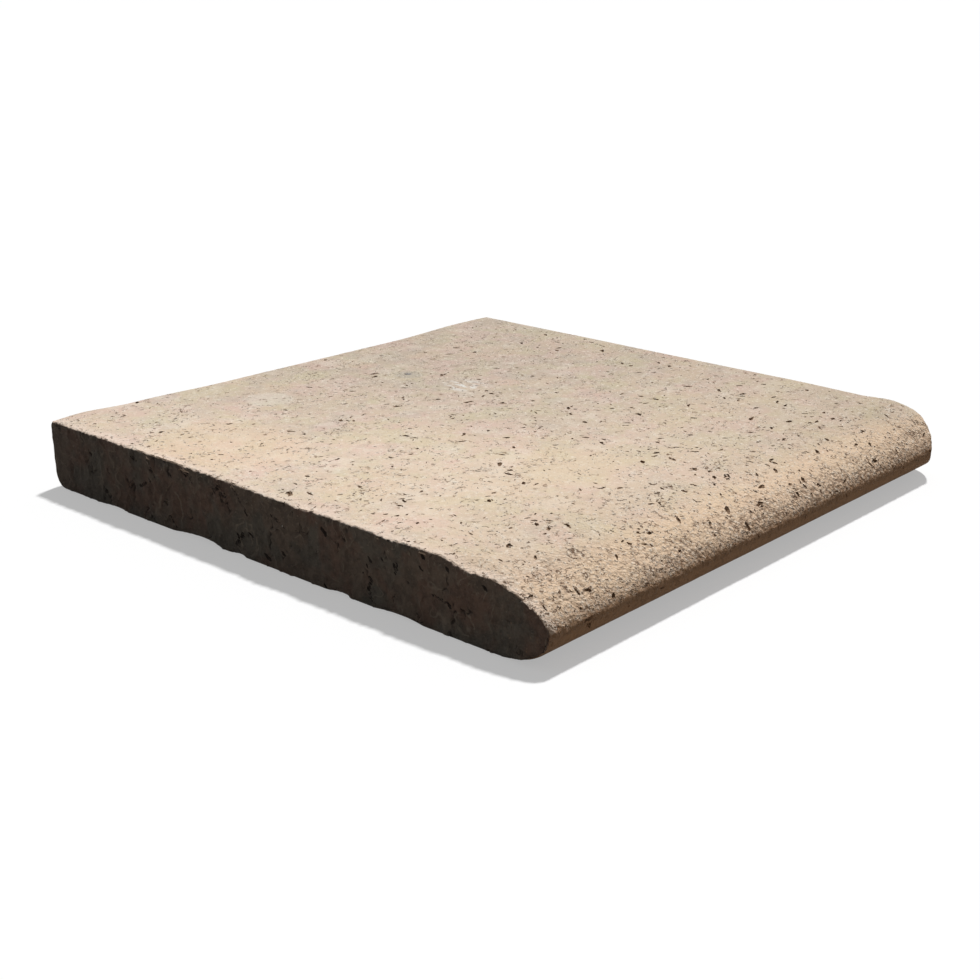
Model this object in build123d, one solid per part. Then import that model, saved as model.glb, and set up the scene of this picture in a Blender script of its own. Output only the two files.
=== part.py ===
from build123d import *
import math
import os

# Pool coping stone: one sawn slab of travertine with a long, worn bullnose.
# Millimetres. +Z is up, X runs along the nose, and the nose faces -Y.
# The origin is the centre of the underside's footprint.

# Slab
length = 305.0              # along the nose, end joint to end joint
depth = 305.0               # back joint face to the tip of the nose
thickness = 32.0

# Nose: a quarter of an ellipse above its tip and another below.
# The upper quarter is worn further back at the left end than at the right.
nose_tip_height = 13.5      # underside to the furthest line of the nose
left_upper_run = 52.0       # flat top to the tip at the left end, along the depth
right_upper_run = 44.0      # the same at the right end
nose_lower_run = 26.0       # flat underside to the tip, along the depth
waste_margin = 5.0          # how far the block that shapes the nose stands clear of it

# Corners where the nose meets the ends, rounded in plan
left_corner_radius = 7.0
right_corner_radius = 20.0
corner_overrun = 1.5        # how far past the tip the rounding would end

# Eased arrises
back_top_radius = 2.5       # upper arris of the back joint face
back_bottom_radius = 7.0    # lower arris of the back joint face
end_radius = 1.2            # arris all round both end joint faces

# Shallow spalls along the lower arris of the left end:
# distance from the back face, length along the arris, depth of the hollow
left_spalls = [
    (46.0, 26.0, 1.5),
    (106.0, 38.0, 2.8),
    (133.0, 13.0, 1.7),
    (196.0, 17.0, 1.9),
    (229.0, 32.0, 1.7),
]

back = depth / 2
tip = -depth / 2


def sawn_slab():
    """The slab run along the nose, square above the tip and rounded everywhere else."""
    lower_centre = (tip + nose_lower_run, nose_tip_height)
    back_top_centre = (back - back_top_radius, thickness - back_top_radius)
    back_bottom_centre = (back - back_bottom_radius, back_bottom_radius)

    with BuildSketch(Plane.YZ) as section:
        with BuildLine():
            bottom_arris = CenterArc(back_bottom_centre, back_bottom_radius, 270, 90)
            top_arris = CenterArc(back_top_centre, back_top_radius, 0, 90)
            lower_nose = EllipticalCenterArc(lower_centre, nose_lower_run, nose_tip_height, 180, arc_size=90)
            Line(bottom_arris @ 1, top_arris @ 0)
            Polyline(top_arris @ 1, (tip, thickness), lower_nose @ 0)
            Line(lower_nose @ 1, bottom_arris @ 0)
        make_face()
    return extrude(section.sketch, amount=length / 2, both=True)


def waste_section(x, upper_run):
    """What is taken off above the nose at x, where the flat top ends upper_run from the tip."""
    centre = (tip + upper_run, nose_tip_height)
    upper_rise = thickness - nose_tip_height
    outer_y = tip - waste_margin
    outer_z = thickness + waste_margin

    with BuildSketch(Plane.YZ.offset(x)) as section:
        with BuildLine():
            upper_nose = EllipticalCenterArc(centre, upper_run, upper_rise, 90, arc_size=90)
            Polyline(
                upper_nose @ 0,
                (tip + upper_run, outer_z),
                (outer_y, outer_z),
                (outer_y, nose_tip_height),
                upper_nose @ 1,
            )
        make_face()
    return section.sketch.face()


def nose_waste():
    """The waste above the nose, which changes evenly from one end to the other."""
    left_section = waste_section(-length / 2, left_upper_run)
    right_section = waste_section(length / 2, right_upper_run)
    return loft([left_section, right_section], ruled=True)


def plan_prism():
    """Upright block whose two front corners carry the rounding seen in plan."""
    plan = Rectangle(length, depth + 2 * corner_overrun)
    left_corner = plan.vertices().group_by(Axis.Y)[0].sort_by(Axis.X)[0]
    plan = fillet(left_corner, left_corner_radius)
    right_corner = plan.vertices().group_by(Axis.Y)[0].sort_by(Axis.X)[-1]
    plan = fillet(right_corner, right_corner_radius)
    return extrude(plan, amount=thickness)


def eased_slab():
    """The slab with its nose and front corners worked, and the end arrises eased."""
    slab = (sawn_slab() - nose_waste()) & plan_prism()
    ends = slab.faces().filter_by(Axis.X).sort_by(Axis.X)
    end_arrises = ends[0].edges() + ends[-1].edges()
    return fillet(end_arrises, radius=end_radius)


def spall(from_back, spall_length, hollow):
    """A ball that bites a shallow hollow out of the left end's lower arris."""
    ball_radius = ((spall_length / 2) ** 2 + hollow ** 2) / (2 * hollow)
    reach = (ball_radius - hollow) / math.sqrt(2)
    centre = (-length / 2 - reach, back - from_back, -reach)
    return Pos(*centre) * Sphere(ball_radius)


def coping_stone():
    stone = eased_slab()
    for from_back, spall_length, hollow in left_spalls:
        stone = stone - spall(from_back, spall_length, hollow)
    return stone


os.makedirs("parts", exist_ok=True)
stone = coping_stone()
export_step(stone, "parts/coping_stone.step")
box = stone.bounding_box()
print("coping_stone", round(box.size.X, 2), round(box.size.Y, 2), round(box.size.Z, 2))
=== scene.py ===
import math
import random

import bmesh
import bpy
from mathutils import Matrix, Vector
from mathutils.bvhtree import BVHTree


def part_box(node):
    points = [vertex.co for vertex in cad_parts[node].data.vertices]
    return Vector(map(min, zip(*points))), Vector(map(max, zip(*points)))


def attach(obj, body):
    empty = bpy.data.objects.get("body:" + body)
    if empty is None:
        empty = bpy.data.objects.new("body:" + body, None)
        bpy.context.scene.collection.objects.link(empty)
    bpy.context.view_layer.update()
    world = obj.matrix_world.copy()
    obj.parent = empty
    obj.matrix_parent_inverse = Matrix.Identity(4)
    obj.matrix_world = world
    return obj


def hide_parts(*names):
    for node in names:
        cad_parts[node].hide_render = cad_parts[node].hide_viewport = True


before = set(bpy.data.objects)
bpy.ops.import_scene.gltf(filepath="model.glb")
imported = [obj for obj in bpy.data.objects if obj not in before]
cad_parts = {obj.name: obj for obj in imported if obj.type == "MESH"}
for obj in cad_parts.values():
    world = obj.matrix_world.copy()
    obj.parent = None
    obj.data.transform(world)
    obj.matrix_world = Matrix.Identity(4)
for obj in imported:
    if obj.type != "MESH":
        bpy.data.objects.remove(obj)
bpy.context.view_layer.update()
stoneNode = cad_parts["coping_stone"]
stoneLow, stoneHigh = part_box("coping_stone")
mm = 0.001


# Small helpers for building node trees

def addNode(tree, kind, **settings):
    node = tree.nodes.new(kind)
    for name, value in settings.items():
        setattr(node, name, value)
    return node


def plug(tree, source, socket):
    # A socket is linked, anything else is set as the socket's own value
    if isinstance(source, bpy.types.NodeSocket):
        tree.links.new(source, socket)
    else:
        socket.default_value = source


def maths(tree, operation, first, second=None, third=None):
    node = addNode(tree, "ShaderNodeMath", operation=operation)
    for socket, value in zip(node.inputs, (first, second, third)):
        if value is not None:
            plug(tree, value, socket)
    return node.outputs[0]


def product(tree, *values):
    result = values[0]
    for value in values[1:]:
        result = maths(tree, "MULTIPLY", result, value)
    return result


def total(tree, *values):
    result = values[0]
    for value in values[1:]:
        result = maths(tree, "ADD", result, value)
    return result


def vectorMaths(tree, operation, first, second=None, scale=None):
    node = addNode(tree, "ShaderNodeVectorMath", operation=operation)
    plug(tree, first, node.inputs[0])
    if second is not None:
        plug(tree, second, node.inputs[1])
    if scale is not None:
        plug(tree, scale, node.inputs["Scale"])
    return node.outputs["Value"] if operation in ("DISTANCE", "DOT_PRODUCT") else node.outputs[0]


def split(tree, vector):
    node = addNode(tree, "ShaderNodeSeparateXYZ")
    plug(tree, vector, node.inputs[0])
    return node.outputs


def join(tree, x, y, z):
    node = addNode(tree, "ShaderNodeCombineXYZ")
    for socket, value in zip(node.inputs, (x, y, z)):
        plug(tree, value, socket)
    return node.outputs[0]


def ramp(tree, value, fromLow, fromHigh, toLow=0.0, toHigh=1.0, smooth=True):
    node = addNode(tree, "ShaderNodeMapRange", clamp=True)
    node.interpolation_type = "SMOOTHSTEP" if smooth else "LINEAR"
    for name, number in (("Value", value), ("From Min", fromLow), ("From Max", fromHigh),
                         ("To Min", toLow), ("To Max", toHigh)):
        plug(tree, number, node.inputs[name])
    return node.outputs[0]


def noise(tree, place, size, detail=2.0, roughness=0.5, shift=0.0):
    # From 0 to 1, with features about size metres across
    moved = vectorMaths(tree, "ADD", place, (shift, 0.37 * shift, 0.71 * shift))
    node = addNode(tree, "ShaderNodeTexNoise", noise_dimensions="3D")
    plug(tree, moved, node.inputs["Vector"])
    node.inputs["Scale"].default_value = 1.0 / size
    node.inputs["Detail"].default_value = detail
    node.inputs["Roughness"].default_value = roughness
    return node.outputs[0]


def splitNoise(tree, place, size, shift):
    # Three noises at once, each about 0, as a vector
    moved = vectorMaths(tree, "ADD", place, (shift, 0.37 * shift, 0.71 * shift))
    node = addNode(tree, "ShaderNodeTexNoise", noise_dimensions="3D")
    plug(tree, moved, node.inputs["Vector"])
    node.inputs["Scale"].default_value = 1.0 / size
    return vectorMaths(tree, "SUBTRACT", node.outputs["Color"], (0.5, 0.5, 0.5))


def centred(tree, value):
    # From 0..1 to -1..1
    return maths(tree, "MULTIPLY_ADD", value, 2.0, -1.0)


def creases(tree, place, size, width=0.06, detail=2.0, shift=0.0):
    # 1 along winding lines about size metres apart, falling to 0 beside them
    value = noise(tree, place, size, detail, 0.5, shift)
    away = maths(tree, "ABSOLUTE", maths(tree, "SUBTRACT", value, 0.5))
    return ramp(tree, away, 0.0, width, 1.0, 0.0)


def hump(tree, value, centre, reach):
    # 1 at centre, falling to 0 at reach metres from it
    away = maths(tree, "ABSOLUTE", maths(tree, "SUBTRACT", value, centre))
    return ramp(tree, away, 0.0, reach, 1.0, 0.0)


def addInput(tree, name, kind, value=None):
    socket = tree.interface.new_socket(name=name, in_out="INPUT", socket_type=kind)
    if value is not None:
        socket.default_value = value
    return socket


def tint(tree, colour, mask, share, paint):
    node = addNode(tree, "ShaderNodeMix", data_type="RGBA")
    plug(tree, maths(tree, "MULTIPLY", mask, share), node.inputs[0])
    plug(tree, colour, node.inputs[6])
    plug(tree, paint, node.inputs[7])
    return node.outputs[2]


# Where the wear is worst, shared by the shape and the finish

wear = {
    "wander": 16 * mm,                              # how far its edges stray
    "wanderSize": 30 * mm,
    "cornerReach": 22 * mm,                         # how much further it reaches at the left corner
    "nose": (-88 * mm, -142 * mm),                  # along Y, where it starts and is full
    "leftRim": (-110 * mm, -150 * mm, 0.0, 0.50),   # along X, and how strong it gets
    "patchSize": 24 * mm,
    "patches": (0.50, 0.68, 0.10, 0.40),            # level of the noise, and how strong they get
}

# Chips out of the left end's upper arris: place along it, half length and depth
arrisChips = [
    (-22 * mm, 8 * mm, 0.9 * mm), (-113 * mm, 15 * mm, 1.9 * mm), (-72 * mm, 9 * mm, 0.6 * mm),
]


def wornMask(tree, place):
    # Heavy along the nose and at its left corner, light along the left arris, patchy elsewhere
    x, y = split(tree, place)[:2]
    stray = centred(tree, noise(tree, place, wear["wanderSize"], 2.0, 0.5, 2.6))
    wander = product(tree, stray, wear["wander"])
    leftCorner = product(tree, ramp(tree, x, -0.15, 0.02, 1.0, 0.0), -wear["cornerReach"])
    nose = ramp(tree, total(tree, y, wander, leftCorner), *wear["nose"])
    leftRim = ramp(tree, total(tree, x, wander), *wear["leftRim"])
    patches = ramp(tree, noise(tree, place, wear["patchSize"], 2.0, 0.5, 6.9), *wear["patches"])
    return maths(tree, "MAXIMUM", maths(tree, "MAXIMUM", nose, leftRim), patches)


def endPlane(tree, place):
    # The pattern on the left end doesn't follow its own depth
    y, z = split(tree, place)[1:]
    return join(tree, 0.0, y, z)


def endCrevices(tree, flat):
    # Short winding cracks, steeper than they are long
    steep = vectorMaths(tree, "MULTIPLY", flat, (1.0, 1.0, 0.6))
    lines = creases(tree, steep, 8 * mm, 0.024, 2.0, 4.7)
    where = ramp(tree, noise(tree, flat, 9 * mm, 2.0, 0.5, 9.2), 0.53, 0.62)
    return product(tree, lines, where)


def chipDepth(tree, y):
    # How far the left end's upper arris is broken down
    depth = 0.0
    for centre, reach, deepest in arrisChips:
        depth = total(tree, depth, product(tree, hump(tree, y, centre, reach), deepest))
    return depth


# Travertine finish, in linear colours

travertine = {
    "leftGround": (0.775, 0.618, 0.478, 1.0),
    "rightGround": (0.625, 0.512, 0.408, 1.0),
    "pink": (0.770, 0.545, 0.475, 1.0),
    "straw": (0.680, 0.605, 0.400, 1.0),
    "peach": (0.775, 0.600, 0.430, 1.0),
    "grey": (0.580, 0.510, 0.440, 1.0),
    "dull": (0.570, 0.460, 0.355, 1.0),
    "pale": (0.880, 0.785, 0.660, 1.0),
    # pale crystals, also used for painted highlights and glints
    "crystalAndGlint": (0.940, 0.860, 0.750, 1.0),
    # flecks: partly painted shade in small hollows, partly dark fill
    "fleck": (0.190, 0.120, 0.075, 1.0),
    # cracks and gaps: partly painted shade in them, partly dark fill
    "crack": (0.250, 0.140, 0.080, 1.0),
    # pit walls: painted shade in the hollows, partly dirt
    "pitShadeAndDirt": (0.300, 0.190, 0.115, 1.0),
    "rim": (0.850, 0.690, 0.580, 1.0),
    # upper nose: painted light, partly worn tone
    "noseLitAndWorn": (0.890, 0.655, 0.450, 1.0),
    "noseShadeAndDirt": (0.520, 0.345, 0.225, 1.0),     # low on the nose: painted shade, partly brown dirt
    "lipShadeAndStain": (0.440, 0.262, 0.150, 1.0),      # warm band under the nose: painted shade with warm bounced light, partly a brown stain
    # the left end's colours are painted dark: painted shade, partly dark grime
    "endGround": (0.205, 0.165, 0.135, 1.0),
    "endRed": (0.205, 0.130, 0.102, 1.0),
    "endGreen": (0.160, 0.158, 0.138, 1.0),
    "endRidge": (0.400, 0.345, 0.285, 1.0),
    # near black: painted shade in the end's voids and cracks
    "endVoidShade": (0.035, 0.027, 0.022, 1.0),
    "sawn": (0.560, 0.460, 0.360, 1.0),          # back and right joint faces, and the bed
}

# Cloudy tones of the top: colour, size, place in the noise, where it starts and is full, share
topMottles = [
    ("dull", 60 * mm, 2.7, 0.48, 0.62, 0.24),
    ("peach", 44 * mm, 1.3, 0.49, 0.60, 0.45),
    ("straw", 34 * mm, 5.1, 0.50, 0.60, 0.42),
    ("pink", 27 * mm, 9.7, 0.50, 0.60, 0.42),
    ("grey", 20 * mm, 4.2, 0.51, 0.66, 0.38),
    ("straw", 20 * mm, 6.8, 0.50, 0.62, 0.36),
    ("pink", 17 * mm, 2.2, 0.51, 0.63, 0.34),
    ("pale", 13 * mm, 3.9, 0.52, 0.66, 0.35),
    ("dull", 8 * mm, 8.4, 0.54, 0.68, 0.34),
    ("pale", 5 * mm, 2.9, 0.54, 0.68, 0.34),
]

# The same for the left end
endMottles = [
    ("endRed", 21 * mm, 1.9, 0.47, 0.60, 0.65),
    ("endGreen", 26 * mm, 6.6, 0.48, 0.60, 0.65),
    # dark patches of the same painted shade
    ("endVoidShade", 6 * mm, 8.1, 0.42, 0.62, 0.35),
]

# Single marks on the top: place in plan, reach, colour, share
topMarks = [
    ((0.0235, 0.0925), 3.4 * mm, (0.110, 0.112, 0.125, 1.0), 0.85),
    ((0.0230, 0.0910), 12.0 * mm, (0.440, 0.420, 0.400, 1.0), 0.35),
    ((-0.058, 0.1080), 20.0 * mm, (0.800, 0.745, 0.630, 1.0), 0.45),
    ((-0.122, 0.0600), 60.0 * mm, (0.830, 0.620, 0.430, 1.0), 0.42),
    ((-0.040, -0.070), 40.0 * mm, (0.740, 0.600, 0.400, 1.0), 0.40),
]
crystals = {
    "place": (0.0265, 0.0550),
    "reach": 16.0 * mm,
    "streak": 2.2 * mm,
    "share": 0.85,
    "paint": (0.950, 0.930, 0.880, 1.0),
}

# How the top's tone changes over the slab, from one place to another and down to a last share; the
# dimming towards the right and back is partly painted shade
topTone = {
    "slant": 0.6,                         # places run along X and this much of Y
    "ground": (0.17, -0.12),              # from the right ground to the left one
    "dimFirst": (-0.08, -0.01, 1.0, 0.90),
    "dimThen": (-0.01, 0.12, 1.0, 0.885),
    "dimToNose": (-60 * mm, -105 * mm, 1.0, 0.95),
    "peachShare": 0.28,
    "noseLightShare": 0.75,
    "noseShadeAndDirtShare": 0.60,
}

# Pale rings on the left end: place along it and height, radius
endSwirls = [
    ((0.0125, 0.0095), 4.0 * mm), ((0.0125, 0.0095), 7.5 * mm),
    ((0.0630, 0.0110), 8.0 * mm), ((-0.1120, 0.0080), 4.5 * mm),
]
swirlWidth = 0.9 * mm

# Small marks all over: how large they are, how readily they come and how strongly they show
speckles = {
    "grainSize": 0.9 * mm,
    "grainShare": 0.30,
    "crystalSize": 1.7 * mm,
    "crystalShare": 0.42,
    "fleckSize": 1.9 * mm,
    "fleckLevel": 0.280,         # more flecks where this is raised
    "fleckShare": 0.92,
    "rimHighlightLevel": 0.052,          # the pale edge outwards from the fleck, a painted highlight, partly chalky
    "rimHighlightWidth": 0.030,
    "rimHighlightShare": 0.70,
    "crackSpacing": 2.6 * mm,
    "crackWidth": 0.055,
    "crackLength": 3.4 * mm,
    "crackLevel": (0.63, 0.69),
    "crackShare": 0.75,
    "crumbSize": 1.7 * mm,       # crumbled grains low on the nose
    "crumbShake": 1.6 * mm,
    "crumbShare": 0.40,
    "gapShare": 0.58,
    "pitShare": 0.85,
    "bumpDepth": 0.5 * mm,
}


def spot(tree, x, y, place, reach):
    # 1 at a place in plan, fading out at reach
    away = vectorMaths(tree, "DISTANCE", join(tree, x, y, 0.0), (place[0], place[1], 0.0))
    return ramp(tree, away, reach, 0.2 * reach)


def addMottles(tree, colour, place, mottles):
    for name, size, shift, low, high, share in mottles:
        area = ramp(tree, noise(tree, place, size, 3.0, 0.6, shift), low, high)
        colour = tint(tree, colour, area, share, travertine[name])
    return colour


def addTopMarks(tree, colour, place, x, y):
    # Ragged stains, and a patch of white crystals
    for centre, reach, paint, share in topMarks:
        edge = product(tree, centred(tree, noise(tree, place, 0.35 * reach, 2.0, 0.6, 1.1)), 0.35)
        ragged = total(tree, spot(tree, x, y, centre, reach), edge)
        inside = product(tree, ramp(tree, ragged, 0.25, 0.75), ramp(tree, ragged, 0.0, 0.2))
        colour = tint(tree, colour, inside, share, paint)
    drawnOut = vectorMaths(tree, "MULTIPLY", place, (1.0, 0.35, 1.0))
    streaks = noise(tree, drawnOut, crystals["streak"], 2.0, 0.5, 7.3)
    bright = product(tree, spot(tree, x, y, crystals["place"], crystals["reach"]),
                     ramp(tree, streaks, 0.47, 0.54))
    return tint(tree, colour, bright, crystals["share"], crystals["paint"])


def topColour(tree, place, x, y, z):
    # Soft mottles from coarse to fine over a tone that pales towards the left end, with painted light
    # paling the upper nose and painted shade darkening the nose lower down
    across = total(tree, x, product(tree, y, topTone["slant"]))
    leftSide = ramp(tree, across, *topTone["ground"], smooth=False)
    colour = tint(tree, travertine["rightGround"], leftSide, 1.0, travertine["leftGround"])
    colour = addMottles(tree, colour, place, topMottles)
    colour = addTopMarks(tree, colour, place, x, y)
    nearNose = ramp(tree, y, 20 * mm, -110 * mm)
    colour = tint(tree, colour, nearNose, topTone["peachShare"], travertine["peach"])
    # Dimmer towards the right and back, partly painted shade, and a little dimmer towards the nose
    tone = product(tree, ramp(tree, across, *topTone["dimFirst"], False),
                   ramp(tree, across, *topTone["dimThen"], False),
                   ramp(tree, y, *topTone["dimToNose"]))
    colour = vectorMaths(tree, "SCALE", colour, scale=tone)
    # The upper nose is painted lighter and warmer: painted light where it turns from the light, partly
    # worn tone
    toTip = product(tree, ramp(tree, z, 31.9 * mm, 26 * mm), ramp(tree, y, -80 * mm, -108 * mm))
    colour = tint(tree, colour, toTip, topTone["noseLightShare"], travertine["noseLitAndWorn"])
    # Lower on the nose, painted shade darkens and warms the colour towards the lip, partly brown dirt
    low = product(tree, ramp(tree, z, 22.5 * mm, 17.0 * mm), ramp(tree, y, -110 * mm, -130 * mm))
    return tint(tree, colour, low, topTone["noseShadeAndDirtShare"], travertine["noseShadeAndDirt"])


def endColour(tree, flat, y, z):
    # The end painted dark, as painted shade and partly dark grime: reddish and greenish patches, pale
    # ridges and rings, and black crevices of painted shade
    colour = addMottles(tree, travertine["endGround"], flat, endMottles)
    ridges = product(tree, creases(tree, flat, 12 * mm, 0.018, 1.0, 11.4),
                     ramp(tree, noise(tree, flat, 9 * mm, 2.0, 0.5, 3.1), 0.48, 0.60))
    colour = tint(tree, colour, ridges, 0.40, travertine["endRidge"])
    shake = vectorMaths(tree, "SCALE", splitNoise(tree, flat, 5 * mm, 7.9), scale=5 * mm)
    shaken = vectorMaths(tree, "ADD", flat, shake)
    broken = ramp(tree, noise(tree, flat, 5 * mm, 1.0, 0.5, 2.3), 0.42, 0.55)
    for (along, height), radius in endSwirls:
        away = vectorMaths(tree, "DISTANCE", shaken, (0.0, along, height))
        ring = product(tree, hump(tree, away, radius, swirlWidth), broken)
        colour = tint(tree, colour, ring, 0.55, travertine["endRidge"])
    speckle = product(tree, ramp(tree, noise(tree, flat, 2.0 * mm, 3.0, 0.6, 5.5), 0.55, 0.70),
                      ramp(tree, z, 14 * mm, 29 * mm, 0.35, 1.0))
    colour = tint(tree, colour, speckle, 0.50, travertine["endRidge"])
    # Its cracks painted near black, as painted shade in them
    colour = tint(tree, colour, endCrevices(tree, flat), 0.85, travertine["endVoidShade"])
    # Darker towards the back of the end
    tone = ramp(tree, y, 0.14, -0.12, 0.62, 1.08, False)
    return vectorMaths(tree, "SCALE", colour, scale=tone)


def leftEndMask(tree, flat, x, y, z):
    # The left end with a ragged edge, and what opens into the stone behind it
    ragged = product(tree, centred(tree, noise(tree, flat, 2.5 * mm, 3.0, 0.6, 4.4)), 0.7)
    onEnd = addNode(tree, "ShaderNodeAttribute", attribute_name="leftEnd").outputs["Fac"]
    face = ramp(tree, total(tree, onEnd, ragged), 0.50, 0.85)
    fall = maths(tree, "POWER", ramp(tree, y, -100 * mm, -152 * mm, smooth=False), 2.0)
    lowered = total(tree, z, chipDepth(tree, y), product(tree, fall, 10 * mm))
    under = maths(tree, "SUBTRACT", stoneHigh[2] - 1.5 * mm, lowered)
    inside = product(tree, ramp(tree, under, 0.0, 0.7 * mm), ramp(tree, y, -132 * mm, -128 * mm),
                     ramp(tree, x, stoneLow[0] + 5 * mm, stoneLow[0] + 3.5 * mm))
    return maths(tree, "MAXIMUM", face, inside)


def crumblyMask(tree, place, x, y, z):
    # The crumbled lower edge of the nose, which reaches higher at the left corner
    higher = product(tree, ramp(tree, x, -50 * mm, -135 * mm), 20 * mm)
    wander = product(tree, centred(tree, noise(tree, place, 14 * mm, 2.0, 0.5, 13.4)), 7 * mm)
    along = maths(tree, "SUBTRACT", total(tree, y, wander), higher)
    return product(tree, ramp(tree, along, -136 * mm, -151 * mm), ramp(tree, z, 12 * mm, 14 * mm))


def addFlecks(tree, colour, place, worn, crumbly, cluster):
    # Brown flecks, partly painted shade in small hollows and partly dark fill, with a pale edge that is
    # a painted highlight, partly chalky
    level = total(tree, speckles["fleckLevel"], product(tree, worn, 0.015),
                  product(tree, crumbly, 0.035), product(tree, cluster, 0.085))
    speck = maths(tree, "SUBTRACT", noise(tree, place, speckles["fleckSize"], 2.0, 0.6, 2.2), level)
    rimHighlight = hump(tree, speck, speckles["rimHighlightLevel"], speckles["rimHighlightWidth"])
    colour = tint(tree, colour, rimHighlight, speckles["rimHighlightShare"], travertine["crystalAndGlint"])
    fleck = ramp(tree, speck, 0.012, -0.018)
    colour = tint(tree, colour, fleck, speckles["fleckShare"], travertine["fleck"])
    return colour, fleck, rimHighlight


def addCracks(tree, colour, place, worn, crumbly, cluster):
    # Short curved cracks, closest together on the nose, painted dark brown: partly painted shade in
    # them, partly dark fill
    lines = creases(tree, place, speckles["crackSpacing"], speckles["crackWidth"], 2.0, 12.3)
    broken = noise(tree, place, speckles["crackLength"], 1.0, 0.5, 15.1)
    often = total(tree, broken, product(tree, worn, 0.035), product(tree, crumbly, 0.05),
                  product(tree, cluster, 0.05))
    crack = product(tree, lines, ramp(tree, often, *speckles["crackLevel"]))
    return tint(tree, colour, crack, speckles["crackShare"], travertine["crack"]), crack


def addCrumbs(tree, colour, place, x, crumbly):
    # Crumbling grains with painted highlights on them and painted shade in the gaps, partly dirt; they
    # also shape the bump
    shake = vectorMaths(tree, "SCALE", splitNoise(tree, place, 2.4 * mm, 5.3),
                        scale=speckles["crumbShake"])
    cells = addNode(tree, "ShaderNodeTexVoronoi", voronoi_dimensions="3D", feature="F1")
    plug(tree, vectorMaths(tree, "ADD", place, shake), cells.inputs["Vector"])
    cells.inputs["Scale"].default_value = 1 / speckles["crumbSize"]
    apart = cells.outputs["Distance"]
    clumps = ramp(tree, noise(tree, place, 7 * mm, 2.0, 0.5, 3.8), 0.38, 0.55, 0.25, 1.0)
    patchy = product(tree, crumbly, clumps, ramp(tree, x, -60 * mm, -110 * mm, 1.0, 0.52))
    # Gaps between grains: painted shade, partly dirt
    gaps = product(tree, patchy, ramp(tree, apart, 0.50, 0.68))
    colour = tint(tree, colour, gaps, speckles["gapShare"], travertine["crack"])
    # Grain tops: painted highlights
    grains = product(tree, patchy, ramp(tree, apart, 0.30, 0.10))
    colour = tint(tree, colour, grains, speckles["crumbShare"], travertine["crystalAndGlint"])
    return colour, product(tree, patchy, apart, -1.5)


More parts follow.
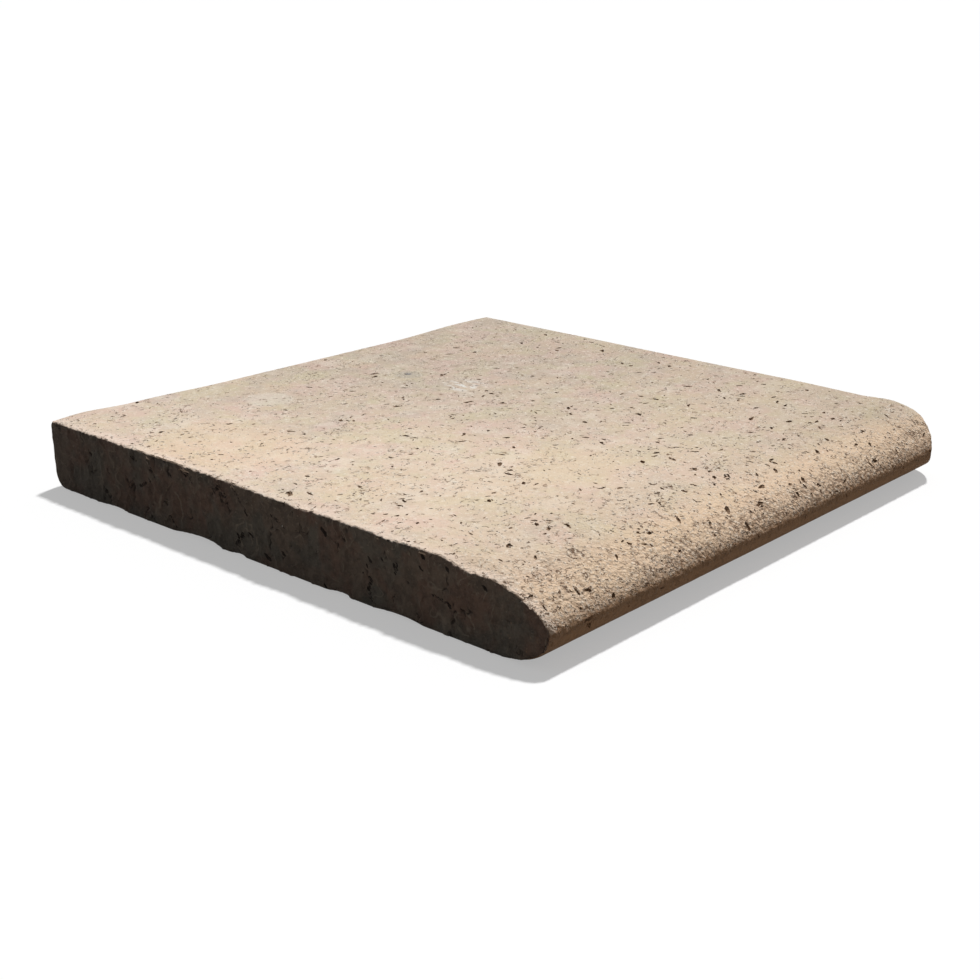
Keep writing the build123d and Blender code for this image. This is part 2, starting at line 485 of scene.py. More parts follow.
def makeTravertine():
    material = bpy.data.materials.new("travertine")
    material.use_nodes = True
    tree = material.node_tree
    shader = tree.nodes["Principled BSDF"]
    place = addNode(tree, "ShaderNodeTexCoord").outputs["Object"]
    x, y, z = split(tree, place)
    worn = wornMask(tree, place)

    colour = topColour(tree, place, x, y, z)
    rimWander = product(tree, centred(tree, noise(tree, place, 12 * mm, 3.0, 0.6, 3.7)), 5 * mm)
    rim = ramp(tree, total(tree, x, rimWander), stoneLow[0] + 8 * mm, stoneLow[0] + 1.5 * mm)
    colour = tint(tree, colour, rim, 0.60, travertine["rim"])

    grain = ramp(tree, noise(tree, place, speckles["grainSize"], 3.0, 0.6, 6.1), 0.50, 0.30)
    colour = tint(tree, colour, grain, speckles["grainShare"], travertine["dull"])
    # Pale crystal flecks, partly painted glints
    crystalAndGlint = ramp(tree, noise(tree, place, speckles["crystalSize"], 2.0, 0.6, 4.8), 0.58, 0.68)
    colour = tint(tree, colour, crystalAndGlint, speckles["crystalShare"], travertine["crystalAndGlint"])

    cluster = ramp(tree, noise(tree, place, 14 * mm, 3.0, 0.6, 7.7), 0.36, 0.66)
    crumbly = crumblyMask(tree, place, x, y, z)
    colour, fleck, rimHighlight = addFlecks(tree, colour, place, worn, crumbly, cluster)
    colour, crack = addCracks(tree, colour, place, worn, crumbly, cluster)
    colour, crumbs = addCrumbs(tree, colour, place, x, crumbly)
    # Pit walls painted dark brown: painted shade in the hollows, partly dirt
    pit = addNode(tree, "ShaderNodeAttribute", attribute_name="pit").outputs["Fac"]
    colour = tint(tree, colour, pit, speckles["pitShare"], travertine["pitShadeAndDirt"])

    # Under the nose, a warm brown band: painted shade with warm bounced light, partly a brown stain
    lipWander = product(tree, centred(tree, noise(tree, place, 4 * mm, 4.0, 0.75, 2.0)), 4.5 * mm)
    lip = product(tree, ramp(tree, total(tree, z, lipWander), 16.4 * mm, 15.6 * mm),
                  ramp(tree, y, -0.118, -0.126))
    colour = tint(tree, colour, lip, 0.85, travertine["lipShadeAndStain"])

    # Sawn faces that the photo doesn't show
    right = ramp(tree, x, stoneHigh[0] - 1.6 * mm, stoneHigh[0] - 0.8 * mm)
    back = ramp(tree, y, stoneHigh[1] - 1.6 * mm, stoneHigh[1] - 0.8 * mm)
    bed = ramp(tree, z, 0.8 * mm, 0.3 * mm)
    hidden = maths(tree, "MAXIMUM", maths(tree, "MAXIMUM", right, back), bed)
    colour = tint(tree, colour, hidden, 0.55, travertine["sawn"])

    # The left end takes the dark end paint: painted shade, partly dark grime
    flat = endPlane(tree, place)
    leftEnd = leftEndMask(tree, flat, x, y, z)
    # Pits in the end painted near black, as painted shade in the hollows
    voids = product(tree, pit, leftEnd)
    endPaint = tint(tree, endColour(tree, flat, y, z), voids, 0.80, travertine["endVoidShade"])
    colour = tint(tree, colour, leftEnd, 1.0, endPaint)

    tree.links.new(colour, shader.inputs["Base Color"])
    shader.inputs["Roughness"].default_value = 0.9
    shader.inputs["Specular IOR Level"].default_value = 0.25

    # Bump carries what is finer than the mesh
    roughest = total(tree, ramp(tree, worn, 0.0, 1.0, 0.20, 0.80), product(tree, crumbly, 0.5))
    small = product(tree, centred(tree, noise(tree, place, 1.4 * mm, 3.0, 0.6, 9.9)), roughest)
    height = total(tree, small, product(tree, crack, -0.55), product(tree, fleck, -0.6),
                   product(tree, rimHighlight, 0.15), crumbs)
    bump = addNode(tree, "ShaderNodeBump")
    bump.inputs["Strength"].default_value = 1.0
    bump.inputs["Distance"].default_value = speckles["bumpDepth"]
    tree.links.new(height, bump.inputs["Height"])
    tree.links.new(bump.outputs[0], shader.inputs["Normal"])
    return material


# Pits and worn relief, built as one Geometry Nodes tree

weathering = {
    "voxel": 0.6 * mm,           # fineness of the mesh before it is thinned
    "triangles": 192000,
    "waveHeight": 0.30 * mm,     # broad unevenness left by the saw
    "waveSize": 55 * mm,
    "edgeLift": 0.62 * mm,       # the middle is trodden lower than the left and right sides
    "arrisFill": 0.30 * mm,      # the left arris is sharper than its rounding
    "grainHeight": 0.07 * mm,    # fine relief on the flat top
    "noseGrain": 0.46 * mm,      # the same where the wear is worst
    "grainSize": 2.2 * mm,
    "hewnHeight": 0.85 * mm,     # relief of the left end
    "crevice": 0.9 * mm,         # depth of its cracks
    "teeth": 0.9 * mm,           # raggedness of its upper arris
    "pitsPerArea": 20000,        # per square metre where pits are thickest
    "pitRadius": 0.58 * mm,
    "pitSpread": 0.90 * mm,      # added to the radius of the rarest pits
    "pitRarity": 3.0,            # the higher, the fewer large pits
    "pitsApart": 1.6,            # least distance between pits, in radii
    "pitLump": 1.3 * mm,         # size of the lumps in a pit's wall
    "lumpPush": 2.6,             # how far they push it, in radii
    "sharpAngle": 48.0,          # edges sharper than this stay sharp, in degrees
    "seed": 7,
}

# A pit's length, width and depth beside its radius: least, greatest, place in the random numbers
pitShape = [(1.00, 2.20, 12), (0.45, 0.85, 13), (0.75, 1.25, 14)]

# Mending of the carved and thinned mesh
mending = {
    "blankMerge": 0.01 * mm,     # joins the solid's loose triangles
    "merge": 0.002 * mm,         # corners closer than this become one
    "turns": 12,
}

# Larger pits that stand out: place in plan and radius in millimetres
topPits = [
    (140, 95, 1.3), (118, 22, 1.2), (108, -48, 1.3), (98, -58, 1.0), (88, -119, 1.1),
    (97, -141, 1.1), (62, -133, 1.3), (70, -118, 0.9), (70, -103, 1.0), (33, -143, 1.0),
    (26, -133, 1.1), (-1, -125, 1.6), (-1, -97, 1.1), (-13, -89, 1.2), (-24, -141, 1.4),
    (14, -131, 0.9), (-6, -122, 1.0), (-40, -143, 1.2), (31, -11, 1.2), (24, -18, 1.1),
    (-35, -33, 1.0), (-58, -45, 1.5), (-70, -69, 1.1), (-96, -73, 1.1), (-104, -105, 1.0),
    (-104, -111, 0.9), (34, 78, 1.1), (-98, -140, 0.9), (-114, -151, 1.1), (-127, -124, 0.9),
]

# Voids in the left end: distance along it, height and radius in millimetres
endPits = [
    (122, 23, 0.7), (63, 4.5, 1.5), (52, 29, 1.0), (32, 26, 0.9), (12, 21, 0.9), (17, 9, 1.1),
    (9, 12, 1.0), (-11, 9, 0.8), (-36, 25, 1.4), (-36, 2, 1.0), (-76, 21, 0.9), (-91, 29, 1.1),
    (-90, 24, 0.8), (-103, 27, 0.8), (-122, 25, 1.0), (-104, 13, 0.9), (-62, 20, 0.9),
    (-69, 22, 0.8),
]

# Cracks in the left end: radius in millimetres, then the places and heights that they follow
endCracks = [
    (0.65, [(78, 29.5), (76, 26), (74, 22.5)]),
    (0.80, [(54, 30), (50, 29.5), (46, 26)]),
    (0.50, [(85, 16), (80, 18.5), (76, 14)]),
    (0.90, [(64, 7), (63.5, 4), (59, 2.5)]),
    (0.60, [(31.5, 26.5), (28, 29), (25, 26.5)]),
    (0.70, [(19.5, 30), (16.5, 26.5), (11, 21.5)]),
    (0.65, [(-5, 24), (-8.5, 23), (-12.5, 20.5)]),
    (0.75, [(19, 5), (16, 9), (14.5, 12)]),
    (0.75, [(-62, 12), (-61, 7), (-62.5, 2)]),
    (0.60, [(90, 28.5), (86.5, 27.5)]),
    (0.60, [(-76.5, 22.5), (-76, 17.5)]),
    (0.50, [(-96, 15), (-103, 13.5)]),
]

# The back arris stands out beyond the sawn line here: place along it, half length and reach
backBulges = [
    (-134 * mm, 26 * mm, 3.2 * mm), (132 * mm, 60 * mm, 2.4 * mm), (-90 * mm, 40 * mm, 1.4 * mm),
]

# Parts of the top that stand higher: from and to along X, from and to along Y
liftedLeft = (-60 * mm, -138 * mm, -15 * mm, 45 * mm)
liftedRight = (50 * mm, 138 * mm, -125 * mm, -60 * mm)

# The right front corner stays full almost to its end
shoulder = {
    "corner": (100 * mm, 146 * mm, -106 * mm, -128 * mm),
    "ends": (-150 * mm, -136 * mm),       # along Y, where it turns down to the tip
    "rise": 3.4,                          # beside the lift of the sides
}


def readAttribute(tree, name, kind="FLOAT"):
    node = addNode(tree, "GeometryNodeInputNamedAttribute", data_type=kind)
    node.inputs["Name"].default_value = name
    return node.outputs["Attribute"]


def keepAttribute(tree, geometry, name, value, kind="FLOAT", domain="POINT"):
    node = addNode(tree, "GeometryNodeStoreNamedAttribute", data_type=kind, domain=domain)
    plug(tree, geometry, node.inputs["Geometry"])
    node.inputs["Name"].default_value = name
    plug(tree, value, node.inputs["Value"])
    return node.outputs[0]


def moveBy(tree, geometry, offset):
    node = addNode(tree, "GeometryNodeSetPosition")
    plug(tree, geometry, node.inputs["Geometry"])
    plug(tree, offset, node.inputs["Offset"])
    return node.outputs[0]


def randomNumber(tree, low, high, seed):
    node = addNode(tree, "FunctionNodeRandomValue", data_type="FLOAT")
    node.inputs["Seed"].default_value = seed
    sockets = [s for s in node.inputs if s.enabled and s.name in ("Min", "Max")]
    plug(tree, low, sockets[0])
    plug(tree, high, sockets[1])
    return [s for s in node.outputs if s.enabled][0]


def facesLeft(tree, normal):
    # 1 on the left end, 0 on the rest
    return ramp(tree, split(tree, normal)[0], -0.60, -0.90)


def raisedCorner(tree, x, y, limits):
    startX, fullX, startY, fullY = limits
    return product(tree, ramp(tree, x, startX, fullX), ramp(tree, y, startY, fullY))


def hewnRelief(tree, given, flat, y):
    # Coarse to fine relief of the left end, calmer at its back, with cracks sunk into it
    hewn = total(tree, centred(tree, noise(tree, flat, 22 * mm, 2.0, 0.5, 1.7)),
                 product(tree, centred(tree, noise(tree, flat, 6 * mm, 2.0, 0.55, 5.8)), 0.75),
                 product(tree, centred(tree, noise(tree, flat, 2.2 * mm, 2.0, 0.55, 2.4)), 0.35),
                 product(tree, creases(tree, flat, 12 * mm, 0.05, 1.0, 11.4), 0.45))
    calm = ramp(tree, y, 152 * mm, 134 * mm, 0.3, 1.0)
    sunk = product(tree, endCrevices(tree, flat), product(tree, given["Crevice Depth"], -1.0))
    return total(tree, product(tree, hewn, given["Hewn Height"], calm), sunk)


def sawnRelief(tree, given, place, z):
    # Broad waves and fine grain, coarser where the stone is worn
    wavy = noise(tree, place, weathering["waveSize"], 2.0, 0.5, 3.3)
    waves = product(tree, centred(tree, wavy), given["Wave Height"])
    worn = wornMask(tree, place)
    grainHeight = ramp(tree, worn, 0.0, 1.0, given["Grain Height"], given["Worn Grain Height"], False)
    grainy = noise(tree, place, weathering["grainSize"], 3.0, 0.55, 8.8)
    grain = product(tree, centred(tree, grainy), grainHeight)
    under = ramp(tree, z, 15 * mm, 12 * mm, 1.0, 0.25)      # smoother below the tip of the nose
    return total(tree, waves, product(tree, grain, under))


def reliefOffset(tree, given, place, normal):
    x, y, z = split(tree, place)
    flat = endPlane(tree, place)
    onEnd = facesLeft(tree, normal)
    nz = split(tree, normal)[2]
    offBed = ramp(tree, nz, -0.9, -0.7)
    offEnd = maths(tree, "SUBTRACT", 1.0, onEnd)
    along = total(tree, product(tree, sawnRelief(tree, given, place, z), offEnd),
                  product(tree, hewnRelief(tree, given, flat, y), onEnd))
    upAndLeft = vectorMaths(tree, "DOT_PRODUCT", normal, (-0.707, 0.0, 0.707))
    sharper = product(tree, ramp(tree, upAndLeft, 0.72, 0.97), given["Arris Fill"])
    outwards = product(tree, total(tree, along, sharper), offBed)
    offset = vectorMaths(tree, "SCALE", normal, scale=outwards)

    # Lifted sides, a chipped and ragged left arris, and a back arris that isn't quite straight
    sides = maths(tree, "MAXIMUM", raisedCorner(tree, x, y, liftedLeft),
                  raisedCorner(tree, x, y, liftedRight))
    full = product(tree, raisedCorner(tree, x, y, shoulder["corner"]), ramp(tree, y, *shoulder["ends"]))
    up = product(tree, total(tree, sides, product(tree, full, shoulder["rise"])), given["Edge Lift"],
                 ramp(tree, z, 8 * mm, 26 * mm))
    nearArris = ramp(tree, x, stoneLow[0] + 9 * mm, stoneLow[0] + 1 * mm)
    down = product(tree, chipDepth(tree, y), nearArris, ramp(tree, z, 16 * mm, 24 * mm))
    jagged = ramp(tree, noise(tree, flat, 2.6 * mm, 3.0, 0.6, 7.1), 0.45, 0.72)
    teeth = product(tree, jagged, given["Teeth Depth"],
                    ramp(tree, x, stoneLow[0] + 2.2 * mm, stoneLow[0] + 0.4 * mm),
                    ramp(tree, nz, 0.15, 0.45))
    back = 0.0
    for centre, reach, push in backBulges:
        back = total(tree, back, product(tree, hump(tree, x, centre, reach), push))
    back = product(tree, back, ramp(tree, y, 0.120, 0.150), ramp(tree, z, 2 * mm, 26 * mm))
    lift = maths(tree, "SUBTRACT", up, total(tree, down, product(tree, teeth, 0.6)))
    return vectorMaths(tree, "ADD", offset, join(tree, product(tree, teeth, 0.6), back, lift))


def pitPoints(tree, given, place, normal):
    # Clustered points on the blank, joined to the marked ones
    x, y = split(tree, place)[:2]
    facing = split(tree, normal)
    clusters = ramp(tree, noise(tree, place, 17 * mm, 3.0, 0.6, 12.1), 0.38, 0.62, 0.22, 1.0)
    fromBack = product(tree, ramp(tree, y, 0.148, 0.095, 0.16, 1.0),
                       ramp(tree, y, 0.08, -0.11, 0.52, 1.0))
    fromLeft = ramp(tree, x, -0.15, 0.15, 1.0, 0.72, False)
    offBed = ramp(tree, facing[2], -0.5, -0.2, 0.10, 1.0)
    offEnd = ramp(tree, facing[0], -0.3, -0.6, 1.0, 0.15)
    share = product(tree, clusters, fromBack, fromLeft, offBed, offEnd)
    scatter = addNode(tree, "GeometryNodeDistributePointsOnFaces", distribute_method="POISSON")
    plug(tree, given["Geometry"], scatter.inputs["Mesh"])
    apart = product(tree, given["Pit Radius"], weathering["pitsApart"])
    plug(tree, apart, scatter.inputs["Distance Min"])
    plug(tree, given["Pits Per Area"], scatter.inputs["Density Max"])
    plug(tree, share, scatter.inputs["Density Factor"])
    plug(tree, given["Seed"], scatter.inputs["Seed"])
    rarity = maths(tree, "POWER", randomNumber(tree, 0.0, 1.0, 11), weathering["pitRarity"])
    radius = maths(tree, "MULTIPLY_ADD", rarity, given["Pit Spread"], given["Pit Radius"])
    points = keepAttribute(tree, scatter.outputs["Points"], "pitRadius", radius)
    points = keepAttribute(tree, points, "pitFacing", scatter.outputs["Normal"], "FLOAT_VECTOR")

    marked = addNode(tree, "GeometryNodeObjectInfo", transform_space="ORIGINAL")
    plug(tree, given["Marked Pits"], marked.inputs["Object"])
    dots = addNode(tree, "GeometryNodeMeshToPoints")
    plug(tree, marked.outputs["Geometry"], dots.inputs["Mesh"])
    both = addNode(tree, "GeometryNodeJoinGeometry")
    plug(tree, points, both.inputs[0])
    plug(tree, dots.outputs[0], both.inputs[0])
    return both.outputs[0]


def settleOnto(tree, points, surface):
    # Each point moves to the nearest place on the worn surface
    nearest = addNode(tree, "GeometryNodeProximity", target_element="FACES")
    plug(tree, surface, nearest.inputs[0])
    moved = addNode(tree, "GeometryNodeSetPosition")
    plug(tree, points, moved.inputs["Geometry"])
    plug(tree, nearest.outputs["Position"], moved.inputs["Position"])
    return moved.outputs[0]


def pitCutters(tree, points):
    # A lumpy ball on each point, longer than it is wide and turned at random
    radius = readAttribute(tree, "pitRadius")
    inwards = readAttribute(tree, "pitFacing", "FLOAT_VECTOR")
    shape = join(tree, *[product(tree, radius, randomNumber(tree, least, greatest, seed))
                         for least, greatest, seed in pitShape])
    facing = addNode(tree, "FunctionNodeAlignRotationToVector", axis="Z")
    plug(tree, inwards, facing.inputs["Vector"])
    spin = addNode(tree, "FunctionNodeEulerToRotation")
    plug(tree, join(tree, 0.0, 0.0, randomNumber(tree, 0.0, 2 * math.pi, 15)), spin.inputs[0])
    turned = addNode(tree, "FunctionNodeRotateRotation", rotation_space="LOCAL")
    plug(tree, facing.outputs[0], turned.inputs[0])
    plug(tree, spin.outputs[0], turned.inputs[1])
    ball = addNode(tree, "GeometryNodeMeshIcoSphere")
    ball.inputs["Radius"].default_value = 1.0
    ball.inputs["Subdivisions"].default_value = 2
    cutters = addNode(tree, "GeometryNodeInstanceOnPoints")
    plug(tree, points, cutters.inputs["Points"])
    plug(tree, ball.outputs["Mesh"], cutters.inputs["Instance"])
    plug(tree, turned.outputs[0], cutters.inputs["Rotation"])
    plug(tree, shape, cutters.inputs["Scale"])
    loose = addNode(tree, "GeometryNodeRealizeInstances")
    plug(tree, cutters.outputs[0], loose.inputs[0])
    place = addNode(tree, "GeometryNodeInputPosition").outputs[0]
    lumps = splitNoise(tree, place, weathering["pitLump"], 0.0)
    push = vectorMaths(tree, "SCALE", lumps, scale=product(tree, radius, weathering["lumpPush"]))
    lumpy = keepAttribute(tree, moveBy(tree, loose.outputs[0], push), "pit", 1.0, domain="FACE")
    return keepAttribute(tree, lumpy, "leftEnd", facesLeft(tree, inwards))


# Number inputs of the weathering tree and the values above that they start with
weatheringInputs = {
    "Wave Height": "waveHeight",
    "Edge Lift": "edgeLift",
    "Arris Fill": "arrisFill",
    "Grain Height": "grainHeight",
    "Worn Grain Height": "noseGrain",
    "Hewn Height": "hewnHeight",
    "Crevice Depth": "crevice",
    "Teeth Depth": "teeth",
    "Pits Per Area": "pitsPerArea",
    "Pit Radius": "pitRadius",
    "Pit Spread": "pitSpread",
}


def makeWeatheringTree():
    tree = bpy.data.node_groups.new("weathering", "GeometryNodeTree")
    tree.interface.new_socket(name="Geometry", in_out="INPUT", socket_type="NodeSocketGeometry")
    for name, key in weatheringInputs.items():
        addInput(tree, name, "NodeSocketFloat", weathering[key])
    addInput(tree, "Seed", "NodeSocketInt", weathering["seed"])
    addInput(tree, "Marked Pits", "NodeSocketObject")
    addInput(tree, "Material", "NodeSocketMaterial")
    tree.interface.new_socket(name="Geometry", in_out="OUTPUT", socket_type="NodeSocketGeometry")
    given = addNode(tree, "NodeGroupInput").outputs
    result = addNode(tree, "NodeGroupOutput")
    place = addNode(tree, "GeometryNodeInputPosition").outputs[0]
    normal = addNode(tree, "GeometryNodeInputNormal").outputs[0]

    shaped = keepAttribute(tree, given["Geometry"], "leftEnd", facesLeft(tree, normal))
    shaped = moveBy(tree, shaped, reliefOffset(tree, given, place, normal))
    shaped = keepAttribute(tree, shaped, "pit", 0.0, domain="FACE")
    carve = addNode(tree, "GeometryNodeMeshBoolean", operation="DIFFERENCE", solver="MANIFOLD")
    plug(tree, shaped, carve.inputs["Mesh 1"])
    points = settleOnto(tree, pitPoints(tree, given, place, normal), shaped)
    plug(tree, pitCutters(tree, points), carve.inputs["Mesh 2"])

    # Nothing reaches under the floor
    x, y, z = split(tree, place)
    settled = addNode(tree, "GeometryNodeSetPosition")
    plug(tree, carve.outputs["Mesh"], settled.inputs["Geometry"])
    plug(tree, join(tree, x, y, maths(tree, "MAXIMUM", z, 0.0)), settled.inputs["Position"])

    whole = addNode(tree, "GeometryNodeRealizeInstances")
    plug(tree, settled.outputs[0], whole.inputs[0])
    finished = addNode(tree, "GeometryNodeSetMaterial")
    plug(tree, whole.outputs[0], finished.inputs["Geometry"])
    plug(tree, given["Material"], finished.inputs["Material"])
    plug(tree, finished.outputs[0], result.inputs[0])
    return tree


def socketId(tree, name):
    for item in tree.interface.items_tree:
        if item.item_type == "SOCKET" and item.in_out == "INPUT" and item.name == name:
            return item.identifier
    raise KeyError(name)


def crackPits():
    # Small pits that touch, along each crack
    shake = random.Random(weathering["seed"])
    found = []
    for radius, corners in endCracks:
        for (startY, startZ), (stopY, stopZ) in zip(corners, corners[1:]):
            steps = max(1, round(math.hypot(stopY - startY, stopZ - startZ) / (1.1 * radius)))
            for step in range(steps):
                share = step / steps
                py = startY + (stopY - startY) * share + shake.uniform(-0.6, 0.6) * radius
                pz = startZ + (stopZ - startZ) * share + shake.uniform(-0.3, 0.3) * radius
                found.append((py, pz, radius * shake.uniform(0.6, 1.1)))
    return found


def makeBlank():
    # The solid's own surface with its loose triangles joined, and one vertex for each marked pit
    shell = bmesh.new()
    shell.from_mesh(stoneNode.data)
    bmesh.ops.remove_doubles(shell, verts=shell.verts, dist=mending["blankMerge"])
    surface = BVHTree.FromBMesh(shell)
    blank = bpy.data.meshes.new("copingBlank")
    shell.to_mesh(blank)
    shell.free()

    rays = [((px * mm, py * mm, 1.0), (0, 0, -1), radius) for px, py, radius in topPits]
    rays += [((-1.0, py * mm, pz * mm), (1, 0, 0), radius)
             for py, pz, radius in endPits + crackPits()]
    hits = [surface.ray_cast(Vector(start), Vector(way)) + (radius,) for start, way, radius in rays]
    dots = bpy.data.meshes.new("markedPits")
    dots.from_pydata([hit[0] for hit in hits], [], [])
    radii = dots.attributes.new("pitRadius", "FLOAT", "POINT")
    facings = dots.attributes.new("pitFacing", "FLOAT_VECTOR", "POINT")
    for index, hit in enumerate(hits):
        radii.data[index].value = hit[4] * mm
        facings.data[index].vector = hit[1]
    return blank, dots


def bakeModifiers(piece):
    # The modified shape becomes the piece's own plain mesh
    depsgraph = bpy.context.evaluated_depsgraph_get()
    finalMesh = bpy.data.meshes.new_from_object(piece.evaluated_get(depsgraph))
    piece.modifiers.clear()
    piece.data = finalMesh


def largestIsland(shell):
    # The faces that hang together with the greatest number of others
    shell.faces.index_update()
    shell.faces.ensure_lookup_table()
    seen = [False] * len(shell.faces)
    largest = []
    for start in range(len(seen)):
        if seen[start]:
            continue
        seen[start] = True
        island = [start]
        for index in island:
            for edge in shell.faces[index].edges:
                for neighbour in edge.link_faces:
                    if not seen[neighbour.index]:
                        seen[neighbour.index] = True
                        island.append(neighbour.index)
        if len(island) > len(largest):
            largest = island
    return set(largest)


def mendShell(mesh):
    # Slivers, torn edges and loose crumbs go, and the small holes they leave are closed
    shell = bmesh.new()
    shell.from_mesh(mesh)
    bmesh.ops.dissolve_degenerate(shell, dist=mending["merge"], edges=shell.edges)
    bmesh.ops.remove_doubles(shell, verts=shell.verts, dist=mending["merge"])
    for attempt in range(mending["turns"]):
        shell.verts.index_update()
        knots = {vert.index for vert in shell.verts if not vert.is_manifold}
        torn = [face for face in shell.faces if any(vert.index in knots for vert in face.verts)]
        if torn:
            bmesh.ops.delete(shell, geom=torn, context="FACES")
            print("mending", len(torn), "torn faces")
            continue
        kept = largestIsland(shell)
        crumbs = [face for face in shell.faces if face.index not in kept]
        bmesh.ops.delete(shell, geom=crumbs, context="FACES")
        rims = [edge for edge in shell.edges if len(edge.link_faces) == 1]
        print("mending", len(crumbs), "loose faces,", len(rims), "open edges")
        if not rims:
            break
        bmesh.ops.holes_fill(shell, edges=rims, sides=0)
        rims = [edge for edge in rims if edge.is_valid and len(edge.link_faces) == 1]
        bmesh.ops.edgeloop_fill(shell, edges=rims)
        bmesh.ops.triangulate(shell, faces=[face for face in shell.faces if len(face.verts) > 3])
    bmesh.ops.recalc_face_normals(shell, faces=shell.faces)
    shell.to_mesh(mesh)
    shell.free()


def makeStone():
    material = makeTravertine()
    blank, dots = makeBlank()
    stone = bpy.data.objects.new("coping_stone_body", blank)
    marks = bpy.data.objects.new("markedPits", dots)
    bpy.context.scene.collection.objects.link(stone)
    bpy.context.scene.collection.objects.link(marks)
    remesh = stone.modifiers.new("fineMesh", "REMESH")
    remesh.mode = "VOXEL"
    remesh.voxel_size = weathering["voxel"]
    tree = makeWeatheringTree()
    weather = stone.modifiers.new("weathering", "NODES")
    weather.node_group = tree
    weather[socketId(tree, "Material")] = material
    weather[socketId(tree, "Marked Pits")] = marks
    weather[socketId(tree, "Seed")] = weathering["seed"]
    bakeModifiers(stone)
    bpy.data.objects.remove(marks)
    print("carved faces", len(stone.data.polygons))

    stone.data.calc_loop_triangles()
    before = len(stone.data.loop_triangles)
    thin = stone.modifiers.new("thin", "DECIMATE")
    thin.ratio = min(1.0, weathering["triangles"] / before)
    thin.use_collapse_triangulate = True
    bakeModifiers(stone)
    mendShell(stone.data)
    stone.data.polygons.foreach_set("use_smooth", [True] * len(stone.data.polygons))
    stone.data.set_sharp_from_angle(angle=math.radians(weathering["sharpAngle"]))
    print("stone triangles", before, "thinned to", len(stone.data.polygons))
    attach(stone, "root")
    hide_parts("coping_stone")
    return stone


# Floor, light and camera

studio = {
    "floorColour": (0.60, 0.60, 0.60, 1.0),     # the lit part of what the camera sees
    "floorGlow": 0.40,                          # the rest, so that shadows stay soft and pale
    "floorBounce": (0.20, 0.165, 0.130, 1.0),   # what the floor sends back onto the stone
    "floorSize": 60.0,
    "sunStrength": 3.1,
    "sunAngle": 5.0,                            # in degrees
    "sunFrom": (0.40, 0.13, 0.907),
    "skyStrength": 0.12,                        # what the sky gives the stone, white to the camera
}

photoCamera = {
    "place": (-0.5243, -0.4583, 0.2372),
    "yaw": 50.284,           # degrees from +Y towards +X
    "down": 19.800,
    "roll": 0.877,
    "focal": 1506.2,         # in pixels of the square frame
    "frame": 980.0,
    "centre": (545.1, 506.3),
    "sensor": 36.0,
}


def seenDirectly(tree):
    rays = addNode(tree, "ShaderNodeLightPath")
    seen = maths(tree, "MAXIMUM", rays.outputs["Is Camera Ray"], rays.outputs["Is Glossy Ray"])
    return maths(tree, "MAXIMUM", seen, rays.outputs["Is Transmission Ray"])


def makeFloor():
    half = studio["floorSize"] / 2
    corners = [(-half, -half, 0), (half, -half, 0), (half, half, 0), (-half, half, 0)]
    mesh = bpy.data.meshes.new("floor")
    mesh.from_pydata(corners, [], [(0, 1, 2, 3)])
    floor = bpy.data.objects.new("floor", mesh)
    bpy.context.scene.collection.objects.link(floor)
    material = bpy.data.materials.new("paleFloor")
    material.use_nodes = True
    tree = material.node_tree
    tree.nodes.clear()
    seen = seenDirectly(tree)
    matt = addNode(tree, "ShaderNodeBsdfDiffuse")
    colour = tint(tree, studio["floorBounce"], seen, 1.0, studio["floorColour"])
    plug(tree, colour, matt.inputs["Color"])
    glow = addNode(tree, "ShaderNodeEmission")
    plug(tree, maths(tree, "MULTIPLY", seen, studio["floorGlow"]), glow.inputs["Strength"])
    both = addNode(tree, "ShaderNodeAddShader")
    plug(tree, matt.outputs[0], both.inputs[0])
    plug(tree, glow.outputs[0], both.inputs[1])
    out = addNode(tree, "ShaderNodeOutputMaterial")
    plug(tree, both.outputs[0], out.inputs["Surface"])
    mesh.materials.append(material)
    return floor


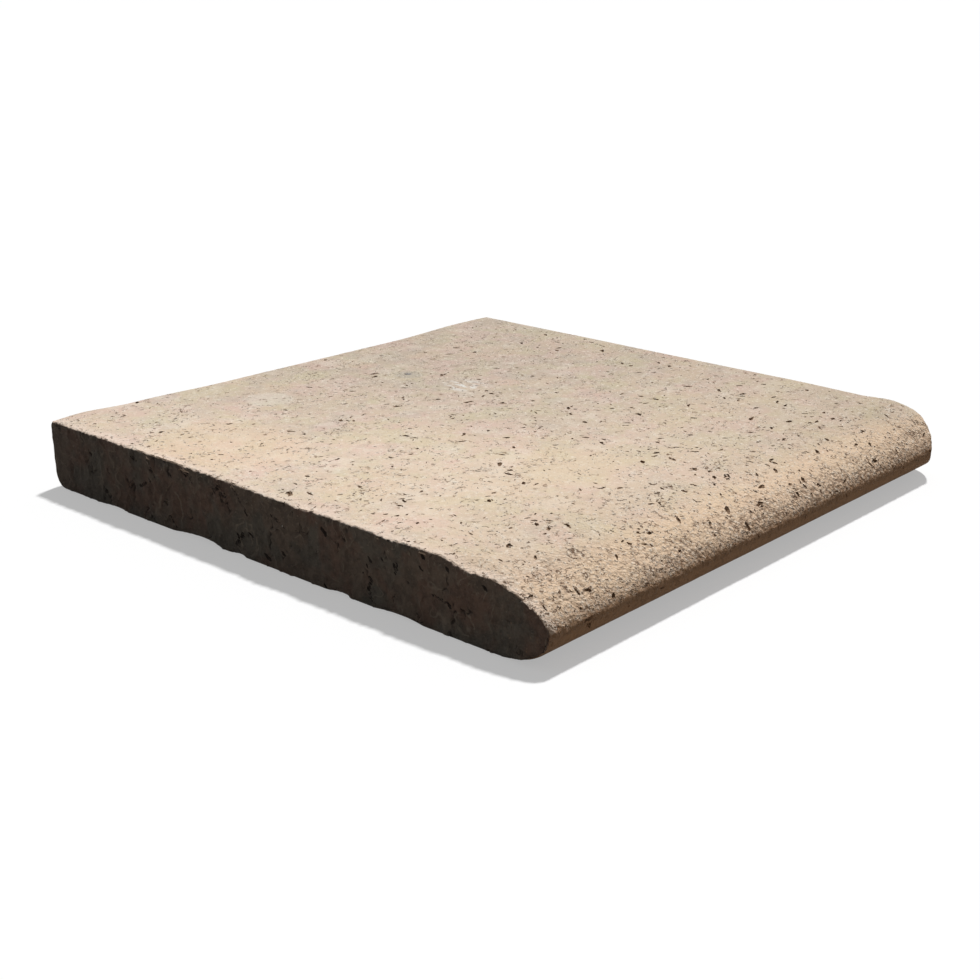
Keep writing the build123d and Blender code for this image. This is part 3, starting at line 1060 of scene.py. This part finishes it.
def makeLight():
    lamp = bpy.data.lights.new("daylight", "SUN")
    lamp.energy = studio["sunStrength"]
    lamp.angle = math.radians(studio["sunAngle"])
    sun = bpy.data.objects.new("daylight", lamp)
    sun.rotation_euler = Vector(studio["sunFrom"]).to_track_quat("Z", "Y").to_euler()
    bpy.context.scene.collection.objects.link(sun)
    world = bpy.data.worlds.new("studioSky")
    world.use_nodes = True
    tree = world.node_tree
    tree.nodes.clear()
    sky = addNode(tree, "ShaderNodeBackground")
    sky.inputs["Color"].default_value = (1.0, 1.0, 1.0, 1.0)
    strength = ramp(tree, seenDirectly(tree), 0.0, 1.0, studio["skyStrength"], 1.0, False)
    plug(tree, strength, sky.inputs["Strength"])
    out = addNode(tree, "ShaderNodeOutputWorld")
    plug(tree, sky.outputs[0], out.inputs["Surface"])
    bpy.context.scene.world = world


def makeCamera():
    yaw = math.radians(photoCamera["yaw"])
    down = math.radians(photoCamera["down"])
    roll = math.radians(photoCamera["roll"])
    ahead = Vector((math.sin(yaw) * math.cos(down), math.cos(yaw) * math.cos(down), -math.sin(down)))
    levelRight = Vector((math.cos(yaw), -math.sin(yaw), 0.0))
    levelUp = levelRight.cross(ahead)
    right = levelRight * math.cos(roll) + levelUp * math.sin(roll)
    up = levelUp * math.cos(roll) - levelRight * math.sin(roll)
    turn = Matrix((right, up, -ahead)).transposed()
    lens = bpy.data.cameras.new("photoCamera")
    lens.sensor_width = photoCamera["sensor"]
    lens.lens = photoCamera["focal"] / photoCamera["frame"] * photoCamera["sensor"]
    lens.shift_x = 0.5 - photoCamera["centre"][0] / photoCamera["frame"]
    lens.shift_y = photoCamera["centre"][1] / photoCamera["frame"] - 0.5
    lens.clip_start = 0.01
    lens.clip_end = 200.0
    camera = bpy.data.objects.new("photoCamera", lens)
    camera.matrix_world = Matrix.Translation(photoCamera["place"]) @ turn.to_4x4()
    bpy.context.scene.collection.objects.link(camera)
    bpy.context.scene.camera = camera


makeCamera()
makeLight()
makeFloor()
print("stage is ready")
makeStone()
print("stone is ready")

bpy.context.scene.view_settings.view_transform = "Standard"
